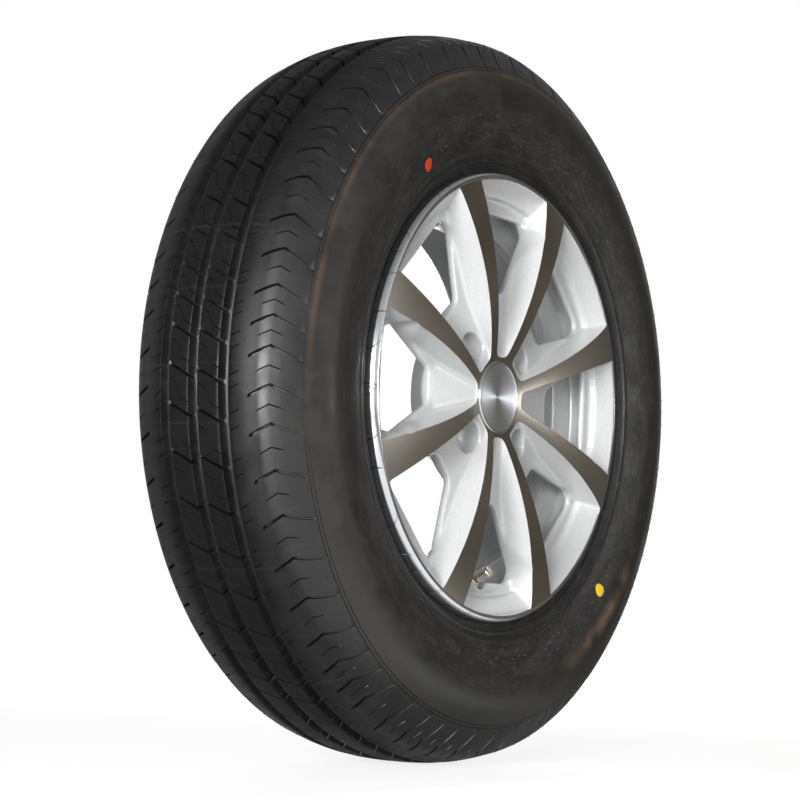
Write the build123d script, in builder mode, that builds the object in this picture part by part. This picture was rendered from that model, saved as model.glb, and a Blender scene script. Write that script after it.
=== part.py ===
"""Wheel and tyre assembly: cast 13 inch alloy wheel, radial van tyre, clip-in cap and clamp-in valve."""

import itertools
import math
import os

from build123d import *

os.makedirs("parts", exist_ok=True)

# The axle lies along Y with the street face towards -Y, and Z is up. Sections are drawn as
# (radius, axial place) in the XY plane and turned about Y.

# Rim barrel
bead_seat_radius = 164.7
rim_width = 127.0
flange_height = 17.3
lip_round = 5.7
lip_facets = 3
flange_reach = 14.5
bead_seat_width = 16.0
bead_seat_taper = 5.0
well_depth = 17.3
well_wall = 4.4
well_setback = 32.5
well_width = 30.0
well_side_angle = 21.0
well_inner_run = 20.0
seat_wall = 2.9
side_wall = 5.4
pocket_wall_lean = 1.0
pocket_wall_height = 2.5

# Spoked disc
crown_radius = 103.0
crown_rise = 5.6
hub_face_setback = 7.5
clip_bore_radius = 26.6
cap_seat_width = 3.0
cap_recess_depth = 3.6
clip_shoulder_height = 22.0
clip_groove_depth = 3.4
clip_groove_width = 5.0
hub_bore_radius = 28.55
hub_offset = 30.0
hub_pad_radius = 67.0
spoke_back_radius = 88.0
spoke_back_setback = 22.5
spoke_root_setback = 23.0
disc_overlap = 1.8

# Pockets and windows between the spokes
plain_pocket_angle = 17.0
lug_pocket_inner_angle = 22.0
lug_pocket_outer_angle = 18.5
pocket_land = 0.9
pocket_overrun = 8.0
pocket_headroom = 0.4
pocket_end_round = 9.0
pocket_draft = 11.0
pocket_floor_lift = 0.5
window_inner_radius = 86.5
window_outer_radius = 149.0
window_inner_width = 27.0
window_outer_width = 99.6
window_floor_setback = 16.0
window_floor_fall = 1.0
window_land = 1.5
window_inner_round = 9.0
window_outer_round = 10.0

# Wheel bolt seats
bolt_circle_radius = 50.0
bolt_count = 4
bolt_hole_radius = 7.25
bolt_seat_radius = 11.0
bolt_seat_angle = 60.0
bolt_socket_radius = 12.75
bolt_seat_height = 22.0

# Tyre, with drops measured down from the tread, heights up from the flange and insets in from the belly
section_height = 132.1
tyre_half_width = 84.5
belly_height = 55.0
belly_top_drop = 34.8
belly_top_inset = 7.3
belly_foot_height = 23.0
belly_foot_inset = 4.5
rim_guard_height = 2.5
rib_edge_drop = 1.5
shoulder_rib_drop = 6.0
shoulder_rib_inset = 36.7
shoulder_drop = 12.4
shoulder_inset = 22.9
bead_gap = 0.2
bead_width = 13.6
bead_apex_height = 8.0
tread_thickness = 14.8
cavity_crown_inset = 38.5
sidewall_thickness = 8.5

# Tread: grooves round the tyre, and slots that repeat in short, medium and long pitches
groove_spacing = 27.5
groove_width = 9.0
groove_floor_width = 5.0
groove_depth = 8.0
pitch_lengths = {"S": 4.5, "M": 5.6, "L": 6.7}
pitch_sequence = 3 * "LMSSMLMMSSMMLLLLLMSS" + "MLMS"
pitch_start = 123.0
rib_slot_width = 3.2
rib_slot_depth = 6.5
rib_slot_slant = 27.0
rib_slot_offset = 2.4
shoulder_slot_width = 3.4
shoulder_slot_depth = 5.0
shoulder_slot_length = 15.0
shoulder_slot_start_run = 19.1
shoulder_slot_end_run = 10.9
shoulder_slot_overrun = 1.2

# Centre cap
cap_clearance = 0.4
cap_plate = 3.2
cap_rim_width = 4.6
cap_rim_height = 1.0
cap_rim_crest = 1.5
cap_rim_fall = 0.8
cap_dish = 1.4
cap_face_thickness = 1.0
cap_finger_gap = 0.3
cap_finger_wall = 2.0
cap_hook_reach = 0.9
cap_hook_gap = 0.3
cap_hook_height = 2.4
cap_finger_count = 6
cap_slot_width = 9.0
band_thickness = 0.8
band_width = 4.0
band_gap = 0.1
band_opening = 20.0

# Valve, with places along its own axis measured from its seat on the wheel
valve_seat_drop = 8.8
valve_seat_setback = 30.0
valve_tilt = 30.0
valve_wall = 7.0
valve_boss_wall = 1.3
counterbore_gap = 0.6
counterbore_reach = 30.0
nut_room = 1.2
stem_radius = 4.4
stem_neck_radius = 3.3
stem_tip_radius = 3.85
stem_length = 20.5
stem_shank = 8.5
stem_neck_length = 2.0
stem_foot_radius = 7.0
stem_foot_thickness = 2.4
stem_bore_radius = 1.9
core_bore_radius = 2.65
grommet_wall = 1.35
grommet_flange_radius = 7.6
grommet_flange_thickness = 3.0
grommet_gap = 0.1
washer_radius = 7.4
washer_thickness = 1.3
nut_flats = 11.0
nut_height = 5.2
nut_gap = 0.1
core_length = 11.5
core_clearance = 0.08
core_head_room = 0.7
core_foot_room = 0.8
core_pin_radius = 0.75
core_pin_hole_radius = 0.95
core_pin_tail = 3.5
core_disc_radius = 1.6
core_disc_thickness = 1.0
valve_cap_wall = 0.63
valve_cap_length = 11.5
valve_cap_top = 1.6
valve_cap_clearance = 0.12
cap_seal_thickness = 1.2
cap_seal_gap = 0.3

axle = Axis.Y
flange_radius = bead_seat_radius + flange_height
flange_face = rim_width / 2
face_place = -flange_face - flange_reach
flange_crest = -face_place - lip_round
curl_foot_radius = flange_radius - (flange_crest - flange_face)
lip_edge_radius = flange_radius - lip_round
seat_end = flange_face - bead_seat_width
ledge_radius = bead_seat_radius - bead_seat_width * math.tan(math.radians(bead_seat_taper))
barrel_radius = ledge_radius - seat_wall
well_radius = bead_seat_radius - well_depth
well_bore_radius = well_radius - well_wall
well_slope = math.tan(math.radians(well_side_angle))
crown_place = face_place - crown_rise
hub_face_place = face_place + hub_face_setback
hub_back = -hub_offset
cap_recess_radius = clip_bore_radius + cap_seat_width
cap_seat = hub_face_place + cap_recess_depth
clip_shoulder_place = hub_back - clip_shoulder_height
bolt_start_angle = 180 / bolt_count


def polar(radius, angle):
    return radius * math.cos(math.radians(angle)), radius * math.sin(math.radians(angle))


def street_plane(place):
    """Plane across the axle at an axial place, seen from the street side."""
    return Plane.XZ.offset(-place)


# Rim barrel: lip and flange, bead seats, drop well and the inside of the barrel
side_shift = side_wall / math.cos(math.radians(well_side_angle))
well_outer_edge = well_setback - flange_face
well_ledge_place = well_outer_edge - (ledge_radius - well_radius) * well_slope
well_bore_edge = well_outer_edge - side_shift + well_wall * well_slope
well_inner_edge = well_outer_edge + well_width
pocket_wall_place = well_bore_edge - (barrel_radius - well_bore_radius) * well_slope
pocket_lip_place = -flange_face - pocket_wall_height
lip_turns = [polar(lip_round, 90 * step / lip_facets) for step in range(lip_facets + 1)]
lip_corners = [(lip_edge_radius + out, -flange_crest - forward) for forward, out in lip_turns]
with BuildPart() as rim_barrel:
    with BuildSketch(Plane.XY):
        Polygon(
            *lip_corners,
            (curl_foot_radius, -flange_face),
            (bead_seat_radius, -flange_face),
            (ledge_radius, -seat_end),
            (ledge_radius, well_ledge_place),
            (well_radius, well_outer_edge),
            (well_radius, well_inner_edge),
            (ledge_radius, well_inner_edge + well_inner_run),
            (ledge_radius, seat_end),
            (bead_seat_radius, flange_face),
            (curl_foot_radius, flange_face),
            (flange_radius, flange_crest),
            (lip_edge_radius, -face_place),
            (barrel_radius, -face_place - (lip_edge_radius - barrel_radius)),
            (barrel_radius, well_inner_edge + well_inner_run + well_wall),
            (well_bore_radius, well_inner_edge + well_wall * well_slope),
            (well_bore_radius, well_bore_edge),
            (barrel_radius, pocket_wall_place),
            (barrel_radius + pocket_wall_lean, pocket_lip_place),
            align=None,
        )
    revolve(axis=axle)


# Pocket cutters: drafted outlines that stop on a floor sloping from the hub to the windows
pocket_inner_radius = cap_recess_radius + pocket_land
pocket_reach = flange_radius + pocket_overrun
pocket_floor_start = hub_face_place - pocket_floor_lift
window_floor_place = face_place + window_floor_setback
cutter_start = crown_place - pocket_headroom
cutter_end = window_floor_place + window_floor_fall
with BuildPart() as pocket_cutters:
    with BuildSketch(street_plane(cutter_start)) as pocket_outlines:
        with PolarLocations(0, bolt_count):
            Polygon(
                polar(pocket_inner_radius, -plain_pocket_angle),
                polar(pocket_reach, -plain_pocket_angle),
                polar(pocket_reach, plain_pocket_angle),
                polar(pocket_inner_radius, plain_pocket_angle),
                align=None,
            )
        with PolarLocations(0, bolt_count, start_angle=bolt_start_angle):
            Polygon(
                polar(pocket_inner_radius, -lug_pocket_inner_angle),
                polar(pocket_reach, -lug_pocket_outer_angle),
                polar(pocket_reach, lug_pocket_outer_angle),
                polar(pocket_inner_radius, lug_pocket_inner_angle),
                align=None,
            )
        hub_corners = pocket_outlines.vertices().filter_by(lambda v: v.center().length < crown_radius)
        fillet(hub_corners, pocket_end_round)
    extrude(amount=cutter_start - cutter_end, taper=pocket_draft)
    with BuildSketch(Plane.XY):
        Polygon(
            (0, pocket_floor_start),
            (pocket_inner_radius, pocket_floor_start),
            (window_inner_radius - window_land, window_floor_place),
            (pocket_reach, cutter_end),
            (pocket_reach, 0),
            (0, 0),
            align=None,
        )
    revolve(axis=axle, mode=Mode.SUBTRACT)

# Spoked disc: hub, domed machined face, pockets, windows and bolt seats, before it joins the barrel
clip_groove_radius = clip_bore_radius + clip_groove_depth
clip_groove_end = clip_shoulder_place + clip_groove_width
bolt_seat_place = hub_back - bolt_seat_height
bolt_seat_depth = (bolt_seat_radius - bolt_hole_radius) / math.tan(math.radians(bolt_seat_angle / 2))
with BuildPart() as spoked_disc:
    with BuildSketch(Plane.XY):
        with BuildLine():
            ThreePointArc(
                (cap_recess_radius, hub_face_place),
                (crown_radius, crown_place),
                (lip_edge_radius, face_place),
            )
            Polyline(
                (lip_edge_radius, face_place),
                (lip_edge_radius + disc_overlap, face_place + disc_overlap),
                (barrel_radius + disc_overlap, pocket_lip_place + disc_overlap),
                (barrel_radius + disc_overlap, face_place + spoke_root_setback),
                (spoke_back_radius, face_place + spoke_back_setback),
                (hub_pad_radius, hub_back),
                (hub_bore_radius, hub_back),
                (hub_bore_radius, clip_groove_end),
                (clip_groove_radius, clip_groove_end),
                (clip_groove_radius, clip_shoulder_place),
                (clip_bore_radius, clip_shoulder_place),
                (clip_bore_radius, cap_seat),
                (cap_recess_radius, cap_seat),
                (cap_recess_radius, hub_face_place),
            )
        make_face()
    revolve(axis=axle)
    add(pocket_cutters.part, mode=Mode.SUBTRACT)

    with BuildSketch(street_plane(crown_place)) as window_outlines:
        with PolarLocations(0, 2 * bolt_count):
            Polygon(
                (window_inner_radius, -window_inner_width / 2),
                (window_outer_radius, -window_outer_width / 2),
                (window_outer_radius, window_outer_width / 2),
                (window_inner_radius, window_inner_width / 2),
                align=None,
            )
        inner_corners = window_outlines.vertices().filter_by(lambda v: v.center().length < crown_radius)
        fillet(inner_corners, window_inner_round)
        outer_corners = window_outlines.vertices().filter_by(lambda v: v.center().length > window_outer_radius)
        fillet(outer_corners, window_outer_round)
    extrude(amount=crown_place, mode=Mode.SUBTRACT)

    with BuildSketch(street_plane(bolt_seat_place)):
        with PolarLocations(bolt_circle_radius, bolt_count, start_angle=bolt_start_angle):
            Circle(bolt_socket_radius)
    extrude(amount=bolt_seat_place - crown_place, mode=Mode.SUBTRACT)
    with BuildSketch(street_plane(bolt_seat_place)):
        with PolarLocations(bolt_circle_radius, bolt_count, start_angle=bolt_start_angle):
            Circle(bolt_seat_radius)
    extrude(amount=-bolt_seat_depth, taper=bolt_seat_angle / 2, mode=Mode.SUBTRACT)
    with BuildSketch(street_plane(bolt_seat_place)):
        with PolarLocations(bolt_circle_radius, bolt_count, start_angle=bolt_start_angle):
            Circle(bolt_hole_radius)
    extrude(amount=bolt_seat_place, mode=Mode.SUBTRACT)


# Valve frame: the seat on the wheel and the axis that points out of the pocket
valve_seat = Vector(0, face_place + valve_seat_setback, valve_seat_drop - barrel_radius)
valve_way = Vector(0, -math.cos(math.radians(valve_tilt)), math.sin(math.radians(valve_tilt)))
valve_axis = Axis(valve_seat, valve_way)
valve_section = Plane(origin=valve_seat, x_dir=(1, 0, 0), z_dir=Vector(1, 0, 0).cross(valve_way))


def valve_plane(place):
    """Plane across the valve's axis at a place along it."""
    return Plane(origin=valve_seat + valve_way * place, x_dir=(1, 0, 0), z_dir=valve_way)


# One casting: barrel, disc and the boss that the valve is clamped in
valve_hole_radius = stem_radius + grommet_wall
counterbore_radius = grommet_flange_radius + counterbore_gap
with BuildPart() as alloy_wheel:
    add(rim_barrel.part)
    add(spoked_disc.part)
    with BuildSketch(valve_plane(0)):
        Circle(counterbore_radius + valve_boss_wall)
    extrude(amount=-valve_wall)
    with BuildSketch(valve_plane(0)):
        Circle(valve_hole_radius)
    extrude(amount=-valve_wall, mode=Mode.SUBTRACT)
    with BuildSketch(valve_plane(-valve_wall)):
        Circle(counterbore_radius)
    extrude(amount=-counterbore_reach, mode=Mode.SUBTRACT)
    with BuildSketch(valve_plane(0)):
        Circle(washer_radius + nut_room)
    extrude(amount=counterbore_reach, mode=Mode.SUBTRACT)

# Slot cutters: vees with their edges along lines under the tread
def tread_point(radius, place, run):
    """Point on a circle of the tread, a run along the circle away from the start of a pitch."""
    turn = run / radius
    return Vector(radius * math.cos(turn), place, radius * math.sin(turn))


def slot_cutter(start, end, width, depth):
    way = (end - start).normalized()
    across = Vector(1, 0, 0).cross(way).normalized()
    with BuildPart() as cutter:
        with BuildSketch(Plane(origin=start, x_dir=across, z_dir=way)):
            Polygon((0, 0), (width, 2 * depth), (-width, 2 * depth), align=None)
        extrude(amount=(end - start).length)
    return cutter.part


tyre_radius = bead_seat_radius + section_height
rib_radius = tyre_radius - rib_edge_drop
shoulder_rib_radius = tyre_radius - shoulder_rib_drop
shoulder_rib_place = tyre_half_width - shoulder_rib_inset
shoulder_radius = tyre_radius - shoulder_drop
shoulder_place = tyre_half_width - shoulder_inset
slot_floor = tyre_radius - rib_edge_drop / 2 - rib_slot_depth
slot_run = groove_spacing / 2 * math.tan(math.radians(rib_slot_slant))
rib_slot = slot_cutter(
    tread_point(slot_floor, 0, slot_run - rib_slot_offset),
    tread_point(slot_floor, groove_spacing, -slot_run - rib_slot_offset),
    rib_slot_width,
    rib_slot_depth,
)
slot_start_place = shoulder_place - shoulder_slot_length
slot_start = tread_point(shoulder_rib_radius, slot_start_place, -shoulder_slot_start_run)
slot_edge = tread_point(shoulder_radius - shoulder_slot_depth, shoulder_place, -shoulder_slot_end_run)
slot_end = slot_start + (slot_edge - slot_start) * shoulder_slot_overrun
shoulder_slot = slot_cutter(slot_start, slot_end, shoulder_slot_width, shoulder_slot_depth)
one_side = [rib_slot, shoulder_slot]
both_sides = one_side + [cutter.rotate(Axis.X, 180) for cutter in one_side]
pitch_ends = list(itertools.accumulate(pitch_lengths[kind] for kind in pitch_sequence))
pitch_angles = [pitch_start + 360 * end / pitch_ends[-1] for end in pitch_ends]
slot_cutters = [cutter.rotate(axle, -angle) for angle in pitch_angles for cutter in both_sides]

# Tyre section: half of it, from the crown over shoulder, belly and bead to the inside of the crown
belly_radius = flange_radius + belly_height
bead_face = flange_face - bead_gap
curl_gap = bead_gap * math.sqrt(2)
toe_drop = bead_width * math.tan(math.radians(bead_seat_taper))
cavity_radius = tyre_radius - tread_thickness
with BuildPart() as tyre:
    with BuildSketch(Plane.XY):
        with BuildLine():
            Polyline(
                (tyre_radius, 0),
                (rib_radius, groove_spacing),
                (shoulder_rib_radius, shoulder_rib_place),
                (shoulder_radius, shoulder_place),
                (tyre_radius - belly_top_drop, tyre_half_width - belly_top_inset),
                (belly_radius, tyre_half_width),
                (flange_radius + belly_foot_height, tyre_half_width - belly_foot_inset),
                (flange_radius + rim_guard_height, flange_crest),
                (flange_radius, flange_crest - curl_gap),
                (curl_foot_radius + curl_gap - bead_gap, bead_face),
                (bead_seat_radius + bead_gap, bead_face),
                (bead_seat_radius + bead_gap - toe_drop, flange_face - bead_width),
                (flange_radius + bead_apex_height, flange_face),
                (belly_radius, tyre_half_width - sidewall_thickness),
                (cavity_radius, tyre_half_width - cavity_crown_inset),
                (cavity_radius, 0),
            )
            mirror(about=Plane.XZ)
        make_face()
    revolve(axis=axle)
    with BuildSketch(Plane.XY):
        for groove in (-groove_spacing, 0, groove_spacing):
            floor = tyre_radius - groove_depth - rib_edge_drop * abs(groove) / groove_spacing
            Polygon(
                (floor, groove - groove_floor_width / 2),
                (floor, groove + groove_floor_width / 2),
                (floor + 2 * groove_depth, groove + groove_width - groove_floor_width / 2),
                (floor + 2 * groove_depth, groove - groove_width + groove_floor_width / 2),
                align=None,
            )
    revolve(axis=axle, mode=Mode.SUBTRACT)
    add(slot_cutters, mode=Mode.SUBTRACT)

# Centre cap: dished plate with a raised rim, on a skirt of hooked fingers
cap_radius = cap_recess_radius - cap_clearance
cap_back = cap_seat - cap_plate
dish_radius = cap_radius - cap_rim_width
dish_place = cap_back + cap_dish
finger_radius = clip_bore_radius - cap_finger_gap
finger_bore = finger_radius - cap_finger_wall
hook_place = clip_shoulder_place + cap_hook_gap
finger_end = hook_place + cap_hook_height
with BuildPart() as centre_cap:
    with BuildSketch(Plane.XY):
        Polygon(
            (0, cap_seat),
            (cap_radius, cap_seat),
            (cap_radius, cap_back),
            (cap_radius - cap_rim_crest, cap_back - cap_rim_height),
            (dish_radius, cap_back - cap_rim_height + cap_rim_fall),
            (dish_radius, dish_place),
            (0, dish_place),
            align=None,
        )
        Polygon(
            (finger_bore, cap_seat),
            (finger_radius, cap_seat),
            (finger_radius, hook_place),
            (finger_radius + cap_hook_reach, hook_place),
            (finger_radius, finger_end),
            (finger_bore, finger_end),
            align=None,
        )
    revolve(axis=axle)
    with BuildSketch(street_plane(cap_seat)):
        with PolarLocations(finger_radius, cap_finger_count):
            Rectangle(2 * (cap_finger_wall + cap_hook_reach), cap_slot_width)
    extrude(amount=cap_seat - finger_end, mode=Mode.SUBTRACT)

# Cap face: thin spun disc in the dish of the cap
with BuildPart() as cap_face_disc:
    with BuildSketch(street_plane(dish_place)):
        Circle(dish_radius - cap_finger_gap)
    extrude(amount=cap_face_thickness)

# Spring band: open steel strip that spreads the fingers of the cap
band_radius = finger_bore - band_gap
with BuildPart() as cap_spring_band:
    with BuildSketch(Plane.XY):
        Polygon(
            (band_radius - band_thickness, finger_end - band_width),
            (band_radius, finger_end - band_width),
            (band_radius, finger_end),
            (band_radius - band_thickness, finger_end),
            align=None,
        )
    revolve(axis=axle, revolution_arc=360 - band_opening)

# Valve stem: foot inside the tyre, threaded shank, neck and tip, bored for the core
foot_top = -valve_wall - grommet_flange_thickness
core_top = stem_length - core_head_room
core_foot = core_top - core_length
core_bore_end = core_foot - core_foot_room
neck_end = stem_shank + stem_neck_length
with BuildPart() as valve_stem:
    with BuildSketch(valve_section):
        Polygon(
            (stem_bore_radius, foot_top - stem_foot_thickness),
            (stem_foot_radius, foot_top - stem_foot_thickness),
            (stem_foot_radius, foot_top),
            (stem_radius, foot_top),
            (stem_radius, stem_shank),
            (stem_neck_radius, stem_shank),
            (stem_neck_radius, neck_end),
            (stem_tip_radius, neck_end),
            (stem_tip_radius, stem_length),
            (core_bore_radius, stem_length),
            (core_bore_radius, core_bore_end),
            (stem_bore_radius, core_bore_end),
            align=None,
        )
    revolve(axis=valve_axis)

# Rubber grommet that seals the stem in the wheel
grommet_bore = stem_radius + grommet_gap
grommet_collar = valve_hole_radius - grommet_gap
with BuildPart() as valve_grommet:
    with BuildSketch(valve_section):
        Polygon(
            (grommet_bore, foot_top),
            (grommet_flange_radius, foot_top),
            (grommet_flange_radius, -valve_wall),
            (grommet_collar, -valve_wall),
            (grommet_collar, 0),
            (grommet_bore, 0),
            align=None,
        )
    revolve(axis=valve_axis)

with BuildPart() as valve_washer:
    with BuildSketch(valve_plane(0)):
        Circle(washer_radius)
        Circle(stem_radius + nut_gap, mode=Mode.SUBTRACT)
    extrude(amount=washer_thickness)

with BuildPart() as valve_nut:
    with BuildSketch(valve_plane(washer_thickness)):
        RegularPolygon(nut_flats / 2, 6, major_radius=False)
        Circle(stem_radius + nut_gap, mode=Mode.SUBTRACT)
    extrude(amount=nut_height)

# Valve core: barrel screwed into the stem, and the pin that opens it
with BuildPart() as valve_core_barrel:
    with BuildSketch(valve_plane(core_foot)):
        Circle(core_bore_radius - core_clearance)
        Circle(core_pin_hole_radius, mode=Mode.SUBTRACT)
    extrude(amount=core_length)

with BuildPart() as valve_core_pin:
    with BuildSketch(valve_plane(core_foot - core_pin_tail)):
        Circle(core_pin_radius)
    extrude(amount=core_pin_tail + core_length + core_head_room / 2)
    with BuildSketch(valve_plane(core_foot - core_disc_thickness)):
        Circle(core_disc_radius)
    extrude(amount=core_disc_thickness)

# Dust cap: threaded cup, with a sealing disc under its top
seal_place = stem_length + cap_seal_gap
cap_ceiling = seal_place + cap_seal_thickness
cap_end = cap_ceiling + valve_cap_top
cap_mouth = cap_end - valve_cap_length
cap_bore = stem_tip_radius + valve_cap_clearance
valve_cap_radius = cap_bore + valve_cap_wall
with BuildPart() as valve_cap:
    with BuildSketch(valve_section):
        Polygon(
            (0, cap_ceiling),
            (cap_bore, cap_ceiling),
            (cap_bore, cap_mouth),
            (valve_cap_radius, cap_mouth),
            (valve_cap_radius, cap_end - valve_cap_top / 2),
            (valve_cap_radius - valve_cap_top / 2, cap_end),
            (0, cap_end),
            align=None,
        )
    revolve(axis=valve_axis)

with BuildPart() as valve_cap_seal:
    with BuildSketch(valve_plane(seal_place)):
        Circle(cap_bore - valve_cap_clearance)
    extrude(amount=cap_seal_thickness)

pieces = {
    "alloy_wheel": alloy_wheel,
    "tyre": tyre,
    "centre_cap": centre_cap,
    "cap_face_disc": cap_face_disc,
    "cap_spring_band": cap_spring_band,
    "valve_stem": valve_stem,
    "valve_grommet": valve_grommet,
    "valve_washer": valve_washer,
    "valve_nut": valve_nut,
    "valve_core_barrel": valve_core_barrel,
    "valve_core_pin": valve_core_pin,
    "valve_cap": valve_cap,
    "valve_cap_seal": valve_cap_seal,
}
for name, piece in pieces.items():
    piece.part.label = name
    export_step(piece.part, f"parts/{name}.step")
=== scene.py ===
import math

import bmesh
import bpy
import numpy as np
from mathutils import Matrix, Vector


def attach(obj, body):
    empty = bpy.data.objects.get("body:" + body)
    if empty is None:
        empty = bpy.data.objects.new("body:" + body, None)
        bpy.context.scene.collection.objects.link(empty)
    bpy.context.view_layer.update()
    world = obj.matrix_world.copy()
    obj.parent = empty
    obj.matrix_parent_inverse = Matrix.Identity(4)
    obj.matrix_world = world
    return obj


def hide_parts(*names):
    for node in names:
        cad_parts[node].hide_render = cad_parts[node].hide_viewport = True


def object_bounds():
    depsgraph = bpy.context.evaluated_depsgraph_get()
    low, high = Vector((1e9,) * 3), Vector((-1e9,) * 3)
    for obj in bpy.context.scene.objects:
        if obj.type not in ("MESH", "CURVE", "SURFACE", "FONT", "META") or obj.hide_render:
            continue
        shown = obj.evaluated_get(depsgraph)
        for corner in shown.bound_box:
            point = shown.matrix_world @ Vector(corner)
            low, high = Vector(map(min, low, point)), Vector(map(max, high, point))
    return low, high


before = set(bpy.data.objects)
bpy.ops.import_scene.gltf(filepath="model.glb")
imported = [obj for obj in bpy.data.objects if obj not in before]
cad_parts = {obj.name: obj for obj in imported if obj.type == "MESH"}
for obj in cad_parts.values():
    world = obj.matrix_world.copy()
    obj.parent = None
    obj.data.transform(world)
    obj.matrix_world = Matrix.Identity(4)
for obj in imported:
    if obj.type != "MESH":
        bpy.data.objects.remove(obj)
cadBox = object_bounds()
mm = 0.001
print("frame loaded")


def hexColour(code):  # sRGB hex to linear
    channels = [int(code[i:i + 2], 16) / 255 for i in (1, 3, 5)]
    return [c / 12.92 if c <= 0.04045 else ((c + 0.055) / 1.055) ** 2.4 for c in channels] + [1.0]


def newMaterial(name):
    material = bpy.data.materials.new(name)
    material.use_nodes = True
    return material, material.node_tree, material.node_tree.nodes["Principled BSDF"]


def setSockets(tree, node, inputs):  # a node or a socket is linked, anything else is set on the socket itself
    for socket, value in inputs.items():
        if isinstance(value, bpy.types.Node):
            value = next(out for out in value.outputs if not out.is_unavailable)
        if isinstance(value, bpy.types.NodeSocket):
            tree.links.new(value, node.inputs[socket])
        else:
            node.inputs[socket].default_value = value
    return node


def addNode(tree, kind, inputs=None, **settings):
    node = tree.nodes.new("ShaderNode" + kind)
    for setting, value in settings.items():
        setattr(node, setting, value)
    return setSockets(tree, node, inputs or {})


def axleDistance(tree, where):  # how far a place is from the wheel's axle
    flat = addNode(tree, "VectorMath", {0: where, 1: (1, 0, 1)}, operation="MULTIPLY")
    return addNode(tree, "VectorMath", {0: flat}, operation="LENGTH")


def addObject(name, data):
    thing = bpy.data.objects.new(name, data)
    bpy.context.scene.collection.objects.link(thing)
    return thing


def faceOutward(mesh, weld=0.0):  # corners closer than weld become one first
    grid = bmesh.new()
    grid.from_mesh(mesh)
    if weld:
        bmesh.ops.remove_doubles(grid, verts=grid.verts, dist=weld)
    bmesh.ops.recalc_face_normals(grid, faces=grid.faces)
    grid.to_mesh(mesh)
    grid.free()


def dressPiece(name, mesh, slotName, replaced=(), body="wheel", sharpAngle=32):
    mesh.shade_smooth()
    mesh.set_sharp_from_angle(angle=math.radians(sharpAngle))
    piece = addObject(name, mesh)
    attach(piece, body)
    if replaced:
        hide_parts(*replaced)


def addPiece(name, corners, faces, material, slotName, **fitting):
    mesh = bpy.data.meshes.new(name)
    mesh.from_pydata([tuple(corner) for corner in corners], [], faces)
    faceOutward(mesh)
    mesh.materials.append(material)
    dressPiece(name, mesh, slotName, **fitting)


def turnedRing(profile, segments, closed=True):  # a profile of (radius, place) in mm, turned about the axle
    corners, faces = [], []
    for step in range(segments):
        turn = 2 * math.pi * step / segments
        corners += [(r * mm * math.cos(turn), y * mm, r * mm * math.sin(turn)) for r, y in profile]
    count = len(profile)
    for step in range(segments):
        a, b = step * count, (step + 1) % segments * count
        faces += [(a + i, a + (i + 1) % count, b + (i + 1) % count, b + i)
                  for i in range(count if closed else count - 1)]
    return corners, faces


# camera, as fitted to the photograph; turn is how far the wheel had rolled when it was taken
view = {"azimuth": -54.78, "elevation": -1.993, "turn": 4.4, "focalPixels": 2188.0, "imagePixels": 800,
        "sensor": 36.0, "right": 0.02203, "up": 0.000717, "away": 1.8084}
azimuth, elevation = math.radians(view["azimuth"]), math.radians(view["elevation"])
right = Vector((math.cos(azimuth), math.sin(azimuth), 0))
back = Vector((math.sin(azimuth) * math.cos(elevation), -math.cos(azimuth) * math.cos(elevation),
               math.sin(elevation)))
up = back.cross(right)
place = back * view["away"] - right * view["right"] - up * view["up"]
roll = Matrix.Rotation(math.radians(-view["turn"]), 4, "Y")
lens = bpy.data.cameras.new("camera")
lens.sensor_width = view["sensor"]
lens.lens = view["sensor"] * view["focalPixels"] / view["imagePixels"]
camera = addObject("camera", lens)
camera.matrix_world = roll @ Matrix.Translation(place) @ Matrix((right, up, back)).transposed().to_4x4()
bpy.context.scene.camera = camera
bpy.context.scene.view_settings.view_transform = "Standard"
print("camera set")

# studio, in metres: pale paper floor, low soft key left of the camera, sheen lamp right of it, fill behind the part and
# a small glint lamp far right; the part mirrors a white card on the floor before it and brown flags on its right
studio = {"lamps": {"key": (124, (1.2, 1.1), (-2.75, -0.85, 0.1)),  # power, size, place
                    "sheen": (22, (0.7, 1.2), (-1.85, -2.05, 0.1)),
                    "fill": (46, (1.3, 1.3), (2.3, 1.6, 0.05)),
                    "glint": (2.4, (0.24, 0.24), (1.1, -1.86, 0.2))},
          "worldDiffuse": 0.36, "worldGlow": 0.9,
          "backShare": 0.5, "backFade": (-0.4, 0.5), "topShare": 0.3, "topFade": (0.1, 0.8),
          "floorColour": "#f4f4f2", "floorBounce": "#8c8c8a", "floorSize": 14.0, "floorRough": 0.9,
          "floorShade": 0.42, "floorGlow": 1.36, "floorFar": 1.7, "floorFade": (0.5, 2.4), "floorMirrored": 0.3,
          "flagDark": "#423c34", "flagLight": "#86827a", "flagBlotch": 0.45,
          "flags": [((1.75, -0.95, 0.45), (2.3, 2.2), None), ((1.5, -1.0, -0.29), (2.4, 2.6), (0, 0, 1))],
          "board": ((-0.42, -0.76, -0.294), (1.3, 1.2), (0, 0, 1)), "boardGlow": 1.2}
world = bpy.data.worlds.new("studio")
world.use_nodes = True
bpy.context.scene.world = world
tree = world.node_tree
ray = addNode(tree, "LightPath").outputs
heading = addNode(tree, "SeparateXYZ", {0: addNode(tree, "TexCoord").outputs["Generated"]}).outputs
gloss = addNode(tree, "Math", {0: ray["Is Glossy Ray"], 1: ray["Is Transmission Ray"]}, operation="MAXIMUM")
level = addNode(tree, "MapRange", {"Value": gloss, "To Min": studio["worldDiffuse"], "To Max": studio["worldGlow"]})
for axis, side in (("Y", "back"), ("Z", "top")):  # dimmer behind the part and above it
    low, high = studio[side + "Fade"]
    dim = addNode(tree, "MapRange", {"Value": heading[axis], "From Min": low, "From Max": high,
                                     "To Min": 1.0, "To Max": studio[side + "Share"]})
    level = addNode(tree, "Math", {0: level, 1: dim}, operation="MULTIPLY")
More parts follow.
